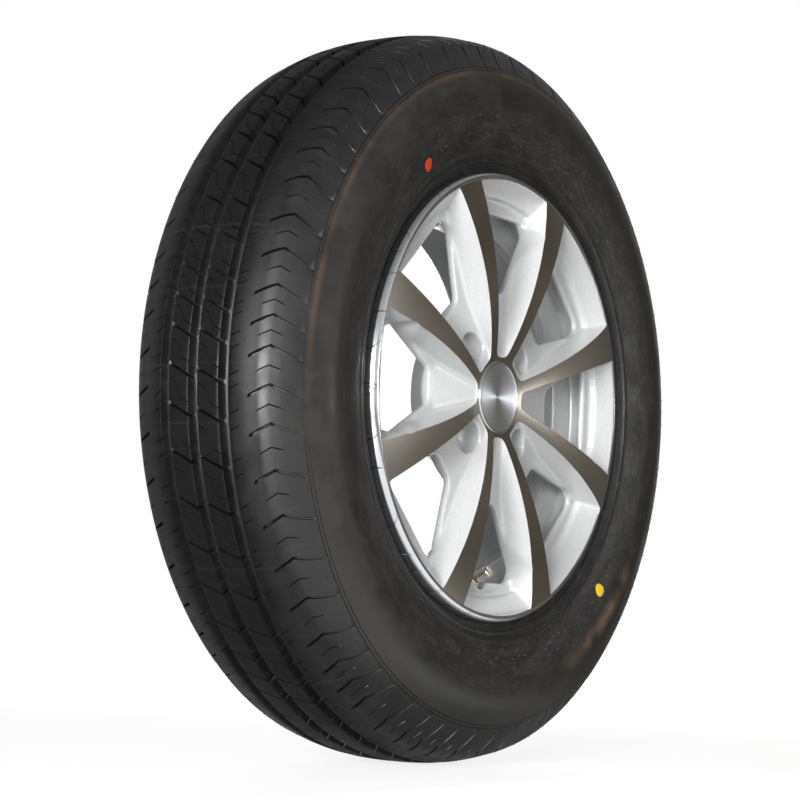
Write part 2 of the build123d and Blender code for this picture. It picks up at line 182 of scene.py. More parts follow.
level = addNode(tree, "Mix", {"Factor": ray["Is Camera Ray"], "A": level, "B": 1.0})  # the camera sees white
setSockets(tree, tree.nodes["Background"], {"Color": hexColour("#ffffff"), "Strength": level})

for name, (power, spread, place) in studio["lamps"].items():
    lamp = bpy.data.lights.new(name, "AREA")
    lamp.shape = "RECTANGLE"
    lamp.size, lamp.size_y = spread
    lamp.energy = power
    holder = addObject(name, lamp)
    holder.location = place
    holder.rotation_euler = (-Vector(place)).to_track_quat("-Z", "Y").to_euler()

paper, tree, shader = newMaterial("matt white paper")  # burns out to white and keeps a faint shadow
ray = addNode(tree, "LightPath").outputs
bounce = addNode(tree, "Mix", {"Factor": ray["Is Diffuse Ray"], "A": hexColour(studio["floorColour"]),
                               "B": hexColour(studio["floorBounce"])}, data_type="RGBA")
setSockets(tree, shader, {"Base Color": bounce, "Roughness": studio["floorRough"]})
away = addNode(tree, "VectorMath", {0: addNode(tree, "TexCoord").outputs["Object"]}, operation="LENGTH")
low, high = studio["floorFade"]
fade = addNode(tree, "MapRange", {"Value": away, "From Min": low, "From Max": high, "To Min": studio["floorGlow"],
                                  "To Max": studio["floorFar"]})  # no edge where the paper ends
mirrored = addNode(tree, "MapRange", {"Value": ray["Is Glossy Ray"], "To Min": fade,
                                      "To Max": studio["floorMirrored"]})
glow = addNode(tree, "Emission", {"Strength": mirrored})
seen = addNode(tree, "Math", {0: ray["Is Camera Ray"], 1: ray["Is Glossy Ray"]}, operation="MAXIMUM")
share = addNode(tree, "Math", {0: seen, 1: 1 - studio["floorShade"]}, operation="MULTIPLY")
mixed = addNode(tree, "MixShader", {"Fac": share, 1: shader, 2: glow})
setSockets(tree, tree.nodes["Material Output"], {"Surface": mixed})

card, tree, shader = newMaterial("brown flag cloth")  # uneven, so that the turned faces show more than one tone
patch = addNode(tree, "TexNoise", {"Vector": addNode(tree, "TexCoord").outputs["Object"],
                                   "Scale": 1 / studio["flagBlotch"], "Detail": 3.0})
patch = addNode(tree, "MapRange", {"Value": patch, "From Min": 0.35, "From Max": 0.65})
tone = addNode(tree, "Mix", {"Factor": patch, "A": hexColour(studio["flagDark"]),
                             "B": hexColour(studio["flagLight"])}, data_type="RGBA")
setSockets(tree, shader, {"Base Color": hexColour("#000000"), "Emission Color": tone, "Emission Strength": 1.0,
                          "Specular IOR Level": 0.0})

board, tree, shader = newMaterial("white reflector card")  # gives the tyre's shoulder a low sheen
setSockets(tree, shader, {"Base Color": hexColour("#000000"), "Emission Color": hexColour("#ffffff"),
                          "Emission Strength": studio["boardGlow"]})

sheets = [("floor", (0, 0, cadBox[0][2]), (studio["floorSize"], studio["floorSize"]), (0, 0, 1), paper)]
sheets += [("flag", place, spread, facing or -Vector(place), card) for place, spread, facing in studio["flags"]]
sheets.append(("board", *studio["board"], board))
for name, place, (width, height), facing, material in sheets:
    sheet = bpy.data.meshes.new(name)
    square = [(x * width / 2, y * height / 2, 0) for x, y in ((-1, -1), (1, -1), (1, 1), (-1, 1))]
    sheet.from_pydata(square, [], [(0, 1, 2, 3)])
    sheet.materials.append(material)
    stand = addObject(name, sheet)
    stand.location = place
    stand.rotation_euler = Vector(facing).to_track_quat("Z", "Y").to_euler()
    if name != "floor":  # flags and board are seen in reflections only
        stand.visible_camera = stand.visible_diffuse = False
        stand.visible_shadow = stand.visible_transmission = False
print("studio set")

# tyre rubber: moulded carbon-black compound, satin black, with brown dried mud along the mould lines, a ring of dust
# and painted sheen on the sidewall, grey rubbed streaks and fine scratches; sizes in mm
rubberLook = {"fresh": "#0e0e0f", "bloom": "#161617", "blotch": 60.0, "smear": 22.0, "wallRadius": 230.0,
              "rub": "#343435", "streakRun": 2.2, "streakRise": 30.0,
              "dustAndSheen": "#312e28", "dustAndSheenRadius": 250.0, "dustAndSheenWidth": 26.0,
              "stain": "#66503a", "lineRadius": 260.5, "lineWidth": 3.6, "stainHeight": (-40.0, 60.0),
              "scratch": "#6a6a6a", "scratchRun": 9.0, "scratchRise": 0.7, "scratchRadius": 212.0,
              "scratchWidth": 34.0,
              "smudge": "#35312a", "smudgeRun": 36.0, "smudgeRise": 9.0,
              "mud": "#75604a", "mudRadius": 236.5, "mudWidth": 10.0, "mudSpot": (158.0, -82.0, -176.0),
              "mudReach": (20.0, 85.0),
              "grain": 0.5, "relief": 0.08, "roughLow": 0.34, "roughHigh": 0.5,
              "treadShine": 0.14, "grooveShine": 0.35, "grooveSpacing": 27.5, "grooveEdge": (4.3, 4.8),
              "wallShine": 0.5, "shoulder": (34.0, 50.0)}
tyreRubber, tree, shader = newMaterial("moulded tyre rubber")
where = addNode(tree, "TexCoord").outputs["Object"]
axes = addNode(tree, "SeparateXYZ", {0: where}).outputs
ringRadius = axleDistance(tree, where)


def ringBand(name, outside=0.0):  # full on a ring of the sidewall, fading to both sides
    off = addNode(tree, "Math", {0: ringRadius, 1: rubberLook[name + "Radius"] * mm}, operation="SUBTRACT")
    off = addNode(tree, "Math", {0: off}, operation="ABSOLUTE")
    return addNode(tree, "MapRange", {"Value": off, "From Max": rubberLook[name + "Width"] * mm,
                                      "To Min": 1.0, "To Max": outside})


turn = addNode(tree, "Math", {0: axes["Z"], 1: axes["X"]}, operation="ARCTAN2")
run = addNode(tree, "Math", {0: turn, 1: rubberLook["wallRadius"] / rubberLook["streakRun"]}, operation="MULTIPLY")
rise = addNode(tree, "Math", {0: ringRadius, 1: 1 / (rubberLook["streakRise"] * mm)}, operation="MULTIPLY")
polar = addNode(tree, "CombineXYZ", {"X": run, "Y": rise, "Z": axes["Y"]})
blotch = addNode(tree, "TexNoise", {"Vector": where, "Scale": 1 / (rubberLook["blotch"] * mm), "Detail": 5.0,
                                    "Roughness": 0.62})
smear = addNode(tree, "TexNoise", {"Vector": where, "Scale": 1 / (rubberLook["smear"] * mm), "Detail": 4.0,
                                   "Roughness": 0.55})
streak = addNode(tree, "TexNoise", {"Vector": polar, "Scale": 1.0, "Detail": 3.0})
grain = addNode(tree, "TexNoise", {"Vector": where, "Scale": 1 / (rubberLook["grain"] * mm),
                                   "Detail": 2.0})  # mould grain, coarser than real, to show
marks = {"rub": addNode(tree, "MapRange", {"Value": streak, "From Min": 0.58, "From Max": 0.78, "To Max": 0.5})}
# dust and painted sheen: a lighter ring on the bulge of the sidewall, where it faces the light
dustAndSheenPatch = addNode(tree, "MapRange", {"Value": smear, "From Min": 0.45, "From Max": 0.7, "To Min": 0.25, "To Max": 0.8})
marks["dustAndSheen"] = addNode(tree, "Math", {0: dustAndSheenPatch, 1: ringBand("dustAndSheen", 0.1)}, operation="MULTIPLY")
patchy = addNode(tree, "MapRange", {"Value": blotch, "From Min": 0.34, "From Max": 0.66, "To Max": 0.6})
low, high = rubberLook["stainHeight"]
upper = addNode(tree, "MapRange", {"Value": axes["Z"], "From Min": low * mm, "From Max": high * mm,
                                   "To Min": 0.15, "To Max": 1.0})
stained = addNode(tree, "Math", {0: ringBand("line"), 1: patchy}, operation="MULTIPLY")
marks["stain"] = addNode(tree, "Math", {0: stained, 1: upper}, operation="MULTIPLY")
scuffed = ringBand("scratch")
for name, detail, rough, low, high in (("smudge", 4.0, 0.6, 0.45, 0.66), ("scratch", 1.0, 0.5, 0.65, 0.7)):
    stretch = [rubberLook["streak" + axis] / rubberLook[name + axis] for axis in ("Run", "Rise")] + [0]
    trail = addNode(tree, "VectorMath", {0: polar, 1: stretch}, operation="MULTIPLY")
    mark = addNode(tree, "TexNoise", {"Vector": trail, "Scale": 1.0, "Detail": detail, "Roughness": rough})
    mark = addNode(tree, "MapRange", {"Value": mark, "From Min": low, "From Max": high, "To Max": 0.8})
    marks[name] = addNode(tree, "Math", {0: mark, 1: scuffed}, operation="MULTIPLY")
mudSpot = [part * mm for part in rubberLook["mudSpot"]]
fromSpot = addNode(tree, "VectorMath", {0: where, 1: mudSpot}, operation="DISTANCE")
low, high = rubberLook["mudReach"]
nearSpot = addNode(tree, "MapRange", {"Value": fromSpot, "From Min": low * mm, "From Max": high * mm,
                                      "To Min": 1.0, "To Max": 0.0})
broken = addNode(tree, "MapRange", {"Value": smear, "From Min": 0.36, "From Max": 0.58, "To Min": 0.15, "To Max": 0.9})
splash = addNode(tree, "Math", {0: ringBand("mud"), 1: nearSpot}, operation="MULTIPLY")
marks["mud"] = addNode(tree, "Math", {0: splash, 1: broken}, operation="MULTIPLY")
base = addNode(tree, "Mix", {"Factor": blotch, "A": hexColour(rubberLook["fresh"]),
                             "B": hexColour(rubberLook["bloom"])}, data_type="RGBA")
for name, mark in marks.items():  # each mark lies over the ones before it
    base = addNode(tree, "Mix", {"Factor": mark, "A": base, "B": hexColour(rubberLook[name])}, data_type="RGBA")
rough = addNode(tree, "MapRange", {"Value": smear, "From Min": 0.35, "From Max": 0.65,
                                   "To Min": rubberLook["roughLow"], "To Max": rubberLook["roughHigh"]})
relief = addNode(tree, "Bump", {"Height": grain, "Strength": 0.4, "Distance": rubberLook["relief"] * mm})
offMiddle = addNode(tree, "Math", {0: axes["Y"]}, operation="ABSOLUTE")
offSide = addNode(tree, "Math", {0: offMiddle, 1: rubberLook["grooveSpacing"] * mm}, operation="SUBTRACT")
offSide = addNode(tree, "Math", {0: offSide}, operation="ABSOLUTE")
offGroove = addNode(tree, "Math", {0: offMiddle, 1: offSide}, operation="MINIMUM")
low, high = rubberLook["grooveEdge"]
sunk = addNode(tree, "MapRange", {"Value": offGroove, "From Min": low * mm, "From Max": high * mm,
                                  "To Min": rubberLook["grooveShine"], "To Max": rubberLook["treadShine"]})
low, high = rubberLook["shoulder"]
shine = addNode(tree, "MapRange", {"Value": offMiddle, "From Min": low * mm, "From Max": high * mm,
                                   "To Min": sunk, "To Max": rubberLook["wallShine"]})
setSockets(tree, shader, {"Base Color": base, "Roughness": rough, "Normal": relief,
                          "Specular IOR Level": shine})  # the ribs are moulded matt, the grooves and walls smoother
print("rubber mixed")

# tyre: a grid whose rows follow the slots, sipes and chevrons of each pitch; sizes in mm
tread = {"pitches": 3 * "LMSSMLMMSSMMLLLLLMSS" + "MLMS", "lengths": {"S": 4.5, "M": 5.6, "L": 6.7}, "start": 123.0,
         "rows": 10, "runRadius": 296.8, "samples": 60, "sharpAngle": 38,
         # half section as (place, radius), the points that bend its ends, and the unseen inside
         "section": [(0, 296.55), (27.5, 295.3), (47.8, 290.8), (61.6, 284.4), (77.2, 262), (84.45, 237),
                     (79.4, 205), (69.9, 183.4)],
         "ends": [(-27.5, 295.3), (62, 174)],
         "hidden": [(69.2, 181.6), (63.3, 173.1), (63.3, 164.9), (49.9, 163.7), (63.5, 190), (76, 237), (46, 282),
                    (0, 282)],
         # columns of the grid as (place, groove depth)
         "columns": [(0, 7.7), (1.2, 7.7), (2.6, 6.7), (3.75, 4.6), (4.4, 0.3), (4.9, 0), (7.5, 0), (10.9, 0),
                     (13.75, 0), (16.6, 0), (20, 0), (22.6, 0), (23.1, 0.3), (23.75, 4.6), (24.9, 6.7),
                     (26.3, 7.7), (28.7, 7.7), (30.1, 6.7), (31.25, 4.6), (31.9, 0.3), (32.4, 0), (35, 0), (38, 0),
                     (40, 0), (41.2, 0), (44, 0), (46.6, 0), (48, 0), (50, 0), (53, 0), (54.2, 0), (57.5, 0),
                     (61, 0), (61.6, 0), (63.5, 0), (66, 0), (66.6, 0), (70, 0), (73, 0), (75, 0)],
         "ribsEnd": 27.5, "ribStart": 4.9, "ribWidth": 17.7,
         "slotSlope": 0.509, "slotOffset": 4.6, "slotDepth": 6.5, "slotHalf": 1.05, "slotFlare": 0.55,
         "slotCurve": 1.5, "slotShallow": 0.6, "slotWall": 0.3,
         "sipeDepth": 2.4, "sipeHalf": 0.38, "sipeStart": 0.36, "sipeShift": 0.32, "sipeBend": (0.34, 0.3),
         "edgeSipeDepth": 1.8, "edgeSipeHalf": 0.4, "edgeSipeRun": 9.4, "edgeSipeRise": 0.445, "edgeSipeStart": 31,
         "edgeSipeEnd": 39.5, "edgeRibEnd": 42,
         # shoulder cuts as (place, run, depth, half width)
         "chevron": [(46.6, 19.1, 0, 1.3), (48, 18.3, 3.4, 1.4), (52, 16.1, 5.0, 1.3), (61.0, 11.2, 4.6, 1.2),
                     (61.6, 10.9, 4.2, 1.2), (63.5, 12.3, 1.6, 1.2), (70, 17.0, 0.7, 1.2), (75, 20.7, 0.45, 1.0)],
         "chevronWall": 0.45,
         "smallChevron": [(53, 4.7, 0, 0.5), (54.2, 4.0, 1.5, 0.5), (61, 0, 1.7, 0.55), (66, 2.7, 0.8, 0.5),
                          (66.6, 3.0, 0, 0.5)],
         "smallChevronRun": 10.9,
         # sidewall: ring lines by their offset, ridges by their radius, both with width and height
         "lines": [(1.4, 0.7, -0.45), (4.2, 0.7, -0.45)], "ridges": [(196.0, 1.5, 0.7), (189.5, 1.3, 0.8)],
         "ridgeSteps": (-1, -0.4, 0.4, 1), "ridgeClear": 2.0,
         "wallColumns": 14, "wallShares": (0.05, 0.96), "wallBlend": 60.0,
         "wallShift": {-1: 0.0, 1: -21.0}}  # plain sidewall rows stand about where the shoulder cuts end
knots = np.array(tread["ends"][:1] + tread["section"] + tread["ends"][1:], float)
sample = []
for a, b, c, d in zip(knots, knots[1:], knots[2:], knots[3:]):  # smooth line through the section points
    for t in np.linspace(0, 1, tread["samples"], endpoint=False):
        bend = (2 * a - 5 * b + 4 * c - d) * t * t + (3 * b - a - 3 * c + d) * t ** 3
        sample.append(0.5 * (2 * b + (c - a) * t + bend))
sample = np.array(sample + [knots[-2]])
along = np.concatenate([[0], np.cumsum(np.hypot(*np.diff(sample, axis=0).T))])
slope = np.gradient(sample, axis=0)
outward = np.stack([-slope[:, 1], slope[:, 0]], 1) / np.hypot(*slope.T)[:, None]
belly = int(sample[:, 0].argmax())


def sectionPoint(reach, depth):  # point of the half section at a length along it, below its surface
    return [np.interp(reach, along, sample[:, i]) - depth * np.interp(reach, along, outward[:, i]) for i in (0, 1)]


def reachAtPlace(y):  # length along the section, on the tread
    return np.interp(y, sample[:belly, 0], along[:belly])


def reachAtRadius(radius):  # length along the section, on the sidewall
    return np.interp(-radius, -sample[belly:, 1], along[belly:])


treadReach = [reachAtPlace(y) for y, _ in tread["columns"]]
lastPlace, lastReach = tread["columns"][-1][0], treadReach[-1]
wall = []  # sidewall columns as (length along the section, height)
for offset, width, height in tread["lines"]:
    wall += [(lastReach + offset + part * width / 2, height * (part == 0)) for part in (-1, 0, 1)]
lineEnd = wall[-1][0]
ridgeReach = [reachAtRadius(radius) for radius, _, _ in tread["ridges"]]
for share in np.linspace(*tread["wallShares"], tread["wallColumns"]):
    wall.append((lineEnd + share * (ridgeReach[0] - tread["ridgeClear"] - lineEnd), 0))
for reach, (_, width, height) in zip(ridgeReach, tread["ridges"]):
    wall += [(reach + part * width, height * (abs(part) < 1)) for part in tread["ridgeSteps"]]
wall.append((along[-1], 0))

lengths = np.array([tread["lengths"][kind] for kind in tread["pitches"]])
angles = np.radians(tread["start"] + 360 * np.concatenate([[0], np.cumsum(lengths)]) / lengths.sum())
runRadius = tread["runRadius"]
pitches = np.diff(angles) * runRadius
rowCount = tread["rows"]


def cutRows(first, middle, line):  # neighbouring rows across a cut, from (offset, depth) pairs
    return {first + k: (middle + offset, depth) for k, (offset, depth) in enumerate(line)}


def shoulderCut(name, reach):  # run, depth and half width of a shoulder cut at a place
    places, *values = np.array(tread[name]).T
    return [np.interp(reach, places, value) for value in values]


def featureRows(y, pitch, before):  # rows that follow a cut: place in mm of run from the pitch's start, and depth
    side, reach = (1 if y < 0 else -1), abs(y)
    if reach <= tread["ribsEnd"]:  # middle ribs: a slanted slot and an S-shaped sipe
        middle = side * (tread["slotSlope"] * reach - tread["slotOffset"])
        share = min(max((reach - tread["ribStart"]) / tread["ribWidth"], 0), 1)
        flare = abs(2 * share - 1)  # slots are wider and deeper at the grooves
        wide = tread["slotHalf"] + tread["slotFlare"] * flare ** tread["slotCurve"]
        deep = tread["slotDepth"] * (tread["slotShallow"] + (1 - tread["slotShallow"]) * flare)
        across = share if side > 0 else 1 - share  # from the inner edge of the rib to the outer
        bendStart, bendWidth = tread["sipeBend"]
        bend = min(max((across - bendStart) / bendWidth, 0), 1)
        sipe = middle + pitch * (tread["sipeStart"] + tread["sipeShift"] * bend)
        edge, half = wide - tread["slotWall"], tread["sipeHalf"]
        return {**cutRows(0, middle, [(-wide, 0), (-edge, deep), (edge, deep), (wide, 0)]),
                **cutRows(5, sipe, [(-half, 0), (0, tread["sipeDepth"]), (half, 0)])}
    if reach <= tread["edgeRibEnd"]:  # inner edge of the shoulder rib: two short sipes a third of a pitch apart
        middle = side * (tread["edgeSipeRun"] - tread["edgeSipeRise"] * max(reach - tread["edgeSipeStart"], 0))
        deep = tread["edgeSipeDepth"] if reach < tread["edgeSipeEnd"] else 0
        line = [(-tread["edgeSipeHalf"], 0), (0, deep), (tread["edgeSipeHalf"], 0)]
        return {**cutRows(0, middle - pitch / 6, line), **cutRows(5, middle + pitch / 6, line)}
    run, deep, wide = shoulderCut("chevron", reach)  # shoulder: a bent slot and a small one half a pitch away
    edge = wide - tread["chevronWall"]
    rows = cutRows(4 if side > 0 else 0, side * run, [(-wide, 0), (-edge, deep), (edge, deep), (wide, 0)])
    run, deep, wide = shoulderCut("smallChevron", reach)
    middle = side * (tread["smallChevronRun"] - (before if side > 0 else pitch) / 2 + run)
    return {**rows, **cutRows(0 if side > 0 else 5, middle, [(-wide, 0), (0, deep), (wide, 0)])}


def treadRows(y, index):  # all rows of a pitch, the plain ones spread between the cuts
    before, pitch, after = (pitches[(index + step) % len(pitches)] for step in (-1, 0, 1))
    rows, following = featureRows(y, pitch, before), featureRows(y, after, pitch)
    known = sorted(rows)
    knownSpots = [rows[row][0] for row in known] + [pitch + following[0][0]]
    spots = np.interp(range(rowCount), known + [rowCount], knownSpots)
    return spots, np.array([rows.get(row, (0, 0))[1] for row in range(rowCount)])


halfColumns = [("tread", y, reach, groove) for (y, groove), reach in zip(tread["columns"], treadReach)]
halfColumns += [("wall", None, reach, -height) for reach, height in wall]
halfColumns += [("hidden", spot, None, 0) for spot in tread["hidden"]]
ring = [(-1, column) for column in reversed(halfColumns[:-1])] + [(1, column) for column in halfColumns[1:]]
blocks = []
for index, pitch in enumerate(pitches):
    block = np.zeros((rowCount, len(ring), 3))
    edgeSpots = {side: treadRows(lastPlace * side, index)[0] for side in (-1, 1)}
    for number, (side, (part, spot, reach, sunk)) in enumerate(ring):
        if part == "tread":
            spots, depths = treadRows(side * spot if spot else -0.001, index)  # the middle counts as street side
            points = np.array([sectionPoint(reach, depth) for depth in np.maximum(depths, sunk)])
        else:
            points = np.array([sectionPoint(reach, sunk) if part == "wall" else spot] * rowCount)
            share = min(1, (reach - lastReach) / tread["wallBlend"]) if part == "wall" else 1
            plain = np.arange(rowCount) * pitch / rowCount + tread["wallShift"][side]
            spots = edgeSpots[side] * (1 - share) + plain * share
        turn = angles[index] + spots / runRadius
        radius = points[:, 1]
        block[:, number] = np.stack([radius * np.cos(turn), side * points[:, 0], radius * np.sin(turn)], 1)
    blocks.append(block)
corners = np.concatenate(blocks) * mm
rows, columns = corners.shape[:2]
faces = []
for row in range(rows):
    a, b = row * columns, (row + 1) % rows * columns
    faces += [(a + c, a + (c + 1) % columns, b + (c + 1) % columns, b + c) for c in range(columns)]
addPiece("tyre_moulding", corners.reshape(-1, 3), faces, tyreRubber, "tyre_rubber", replaced=["tyre"],
         sharpAngle=tread["sharpAngle"])
print("tyre made:", len(faces) * 2, "triangles")

# silver lacquer: metallic flake under clear coat on cast aluminium, soft bright grey with a fine sparkle
lacquerLook = {"silver": "#d4d5d5", "shade": "#c4c5c6", "deep": "#8a8c8f", "flake": 0.8, "rough": 0.38,
               "barrelFrom": -30.0, "barrelFull": 10.0, "barrelShade": 0.55,
               "backFrom": 0.05, "backFull": 0.4, "backShade": 0.7, "metallic": 0.15, "coat": 0.35, "coatRough": 0.12}
silverLacquer, tree, shader = newMaterial("silver wheel lacquer")
where = addNode(tree, "TexCoord").outputs["Object"]
flake = addNode(tree, "TexNoise", {"Vector": where, "Scale": 1 / (lacquerLook["flake"] * mm),
                                   "Detail": 1.0})  # coarser than real flake, to show
flake = addNode(tree, "MapRange", {"Value": flake, "From Min": 0.34, "From Max": 0.66})
base = addNode(tree, "Mix", {"Factor": flake, "A": hexColour(lacquerLook["shade"]),
                             "B": hexColour(lacquerLook["silver"])}, data_type="RGBA")
depth = addNode(tree, "SeparateXYZ", {0: where}).outputs["Y"]
facing = addNode(tree, "SeparateXYZ", {0: addNode(tree, "TexCoord").outputs["Normal"]}).outputs["Y"]
# painted shade: the deep colour stands in for the shade deep in the barrel and on faces turned to the back
deep = addNode(tree, "MapRange", {"Value": depth, "From Min": lacquerLook["barrelFrom"] * mm,
                                  "From Max": lacquerLook["barrelFull"] * mm,
                                  "To Max": lacquerLook["barrelShade"]})
behind = addNode(tree, "MapRange", {"Value": facing, "From Min": lacquerLook["backFrom"],
                                    "From Max": lacquerLook["backFull"], "To Max": lacquerLook["backShade"]})
shadeAndWear = addNode(tree, "Math", {0: deep, 1: behind}, operation="MAXIMUM")  # painted shade: darker grey deep in the barrel and on faces turned to the back
base = addNode(tree, "Mix", {"Factor": shadeAndWear, "A": base, "B": hexColour(lacquerLook["deep"])}, data_type="RGBA")
rough = addNode(tree, "MapRange", {"Value": flake, "To Min": lacquerLook["rough"] * 1.25,
                                   "To Max": lacquerLook["rough"] * 0.8})
setSockets(tree, shader, {"Base Color": base, "Roughness": rough, "Metallic": lacquerLook["metallic"],
                          "Coat Weight": lacquerLook["coat"], "Coat Roughness": lacquerLook["coatRough"]})


def latheMetal(name, look):  # bare metal with feed lines round the axle, rougher across them
    material, tree, shader = newMaterial(name)
    ringRadius = axleDistance(tree, addNode(tree, "TexCoord").outputs["Object"])
    feed = addNode(tree, "TexNoise", {"W": ringRadius, "Scale": 1 / (look["feed"] * mm), "Detail": look["detail"]},
                   noise_dimensions="1D")  # feed lines drawn coarser than cut, to show
    tint = addNode(tree, "Mix", {"Factor": feed, "A": hexColour(look["dull"]), "B": hexColour(look["metal"])},
                   data_type="RGBA")
    lay = addNode(tree, "Tangent", direction_type="RADIAL", axis="Y")
    setSockets(tree, shader, {"Base Color": tint, "Tangent": lay, "Metallic": 1.0, "Roughness": look["rough"],
                              "Anisotropic": look["streak"], "Anisotropic Rotation": 0.25})
    if look["relief"]:
        relief = addNode(tree, "Bump", {"Height": feed, "Strength": 0.3, "Distance": look["relief"] * mm})
        setSockets(tree, shader, {"Normal": relief})
    return material


# street face, cut with a diamond: mirrors the room in streaks that run out from the hub
turnedLook = {"metal": "#b9b3aa", "dull": "#9d968c", "feed": 0.55, "detail": 3.0, "relief": 0.004, "rough": 0.24,
              "streak": 0.75}
turnedAluminium = latheMetal("diamond turned aluminium", turnedLook)

# lip: the same metal buffed smooth, bright and neutral
polishedLook = {"metal": "#cdcfd2", "rough": 0.14, "scuff": 6.0}
polishedAluminium, tree, shader = newMaterial("polished aluminium")
scuff = addNode(tree, "TexNoise", {"Vector": addNode(tree, "TexCoord").outputs["Object"],
                                   "Scale": 1 / (polishedLook["scuff"] * mm), "Detail": 4.0})
rough = addNode(tree, "MapRange", {"Value": scuff, "To Min": polishedLook["rough"] * 0.6,
                                   "To Max": polishedLook["rough"] * 1.6})
setSockets(tree, shader, {"Base Color": hexColour(polishedLook["metal"]), "Roughness": rough, "Metallic": 1.0})

# wheel disc: the casting with its edges rounded as cast, then its street face turned to the dome; (radius, place) in mm
wheelForm = {"hubFace": (29.6, -70.5), "crown": (103.0, -83.6), "edge": (176.3, -78.0),  # three points of the dome
             "rawStock": 8.0, "stockRadii": (29.5, 176.5), "stockBand": 0.25, "backCut": -12.0,
             "weld": 0.002, "trimWeld": 0.005, "voxel": 1.5, "rounds": 4, "drift": 0.5, "socketRounds": 2,
             "boltCircle": 50.0, "boltStart": 45, "bolts": 4, "socketRadius": 14.5,
             "turnedFrom": 30.0, "turnedTo": 175.9, "turnedSteps": 60,
             "segments": 240, "sharpAngle": 38, "rimAngle": 30,
             "trim": [(174.6, -75.3), (163.2, -64.6), (162.0, -43.5), (145.2, -36.5), (145.2, -25.0), (0, -25.0)],
             "lip": [(175.4, -77.0), (175.6, -78.05), (176.3, -78.0), (177.6, -77.85), (179.0, -77.3), (180.3, -76.4),
                     (181.3, -75.1), (181.95, -73.5), (182.2, -71.8), (182.2, -69.6), (181.2, -68.9), (178.0, -68.5),
                     (175.0, -72.0)],
             "barrel": [(163.6, -63.3), (164.7, -63.5), (163.3, -47.5), (163.3, -37.1), (147.4, -31.0), (147.4, -1.0),
                        (163.3, 19.0), (163.3, 47.5), (164.7, 63.5), (173.2, 63.5), (181.2, 68.9), (182.2, 69.6),
                        (182.2, 72.0), (181.6, 74.6), (180.3, 76.4), (178.5, 77.6), (176.3, 78.0), (174.9, 77.7),
                        (172.8, 76.0), (161.6, 64.0), (160.6, 62.0), (160.4, 59.5), (160.4, 26.0), (160.0, 23.6),
                        (158.6, 21.2), (144.4, 3.1), (143.2, 0.9), (143.0, -1.5), (143.0, -24.4), (146.3, -25.6),
                        (146.3, -34.0), (162.7, -42.5), (163.2, -58.0)]}
(r1, y1), (r2, y2), (r3, y3) = (wheelForm[key] for key in ("hubFace", "crown", "edge"))
squares = [r ** 2 + y ** 2 for r, y in ((r1, y1), (r2, y2), (r3, y3))]
domeCentre = np.linalg.solve([[2 * (r2 - r1), 2 * (y2 - y1)], [2 * (r3 - r1), 2 * (y3 - y1)]],
                             [squares[1] - squares[0], squares[2] - squares[0]])
domeRadius = math.hypot(r1 - domeCentre[0], y1 - domeCentre[1])


def domePlace(radius):
    return domeCentre[1] - math.sqrt(domeRadius ** 2 - (radius - domeCentre[0]) ** 2)


def onDome(corner):
    radius = math.hypot(corner.co.x, corner.co.z) / mm
    inner, outer = wheelForm["stockRadii"]
    return inner < radius < outer and abs(corner.co.y / mm - domePlace(radius)) < wheelForm["stockBand"]


def bakedMesh(piece):
    bpy.context.view_layer.update()
    return bpy.data.meshes.new_from_object(piece.evaluated_get(bpy.context.evaluated_depsgraph_get()))


# raw casting: the CAD wheel, with stock left on the street face and the barrel sawn off
rawCast = bmesh.new()
rawCast.from_mesh(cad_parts["alloy_wheel"].data)
bmesh.ops.remove_doubles(rawCast, verts=rawCast.verts, dist=wheelForm["weld"] * mm)
streetCorners = {corner for corner in rawCast.verts if onDome(corner)}
streetFaces = [face for face in rawCast.faces if all(corner in streetCorners for corner in face.verts)]
faceStock = bmesh.ops.extrude_face_region(rawCast, geom=streetFaces)
for item in faceStock["geom"]:
    if isinstance(item, bmesh.types.BMVert):
        item.co.y -= wheelForm["rawStock"] * mm
bmesh.ops.bisect_plane(rawCast, geom=rawCast.verts[:] + rawCast.edges[:] + rawCast.faces[:],
                       plane_co=(0, wheelForm["backCut"] * mm, 0), plane_no=(0, 1, 0), clear_outer=True)
bmesh.ops.bridge_loops(rawCast, edges=[edge for edge in rawCast.edges if edge.is_boundary])
bmesh.ops.recalc_face_normals(rawCast, faces=rawCast.faces)
print("raw casting open edges:", sum(not edge.is_manifold for edge in rawCast.edges))
castMesh = bpy.data.meshes.new("raw_casting")
rawCast.to_mesh(castMesh)
rawCast.free()
casting = addObject("raw_casting", castMesh)
skin = casting.modifiers.new("skin", "REMESH")
skin.mode, skin.voxel_size = "VOXEL", wheelForm["voxel"] * mm

# what the lathe leaves: only the street face is bare, the other faces are lacquered
turnedRadii = [r1] + list(np.linspace(wheelForm["turnedFrom"], wheelForm["turnedTo"], wheelForm["turnedSteps"]))
trimProfile = [(0.0, domePlace(r1))] + [(r, domePlace(r)) for r in turnedRadii] + wheelForm["trim"]
corners, faces = turnedRing([(max(r, 0.001), y) for r, y in trimProfile], wheelForm["segments"] * 2)
trimMesh = bpy.data.meshes.new("turning_trim")
trimMesh.from_pydata(corners, [], faces)
for polygon in trimMesh.polygons:
    polygon.material_index = 0 if polygon.index % len(trimProfile) < len(turnedRadii) else 1
faceOutward(trimMesh, wheelForm["trimWeld"] * mm)
for material in (turnedAluminium, silverLacquer):
    trimMesh.materials.append(material)
trim = addObject("turning_trim", trimMesh)

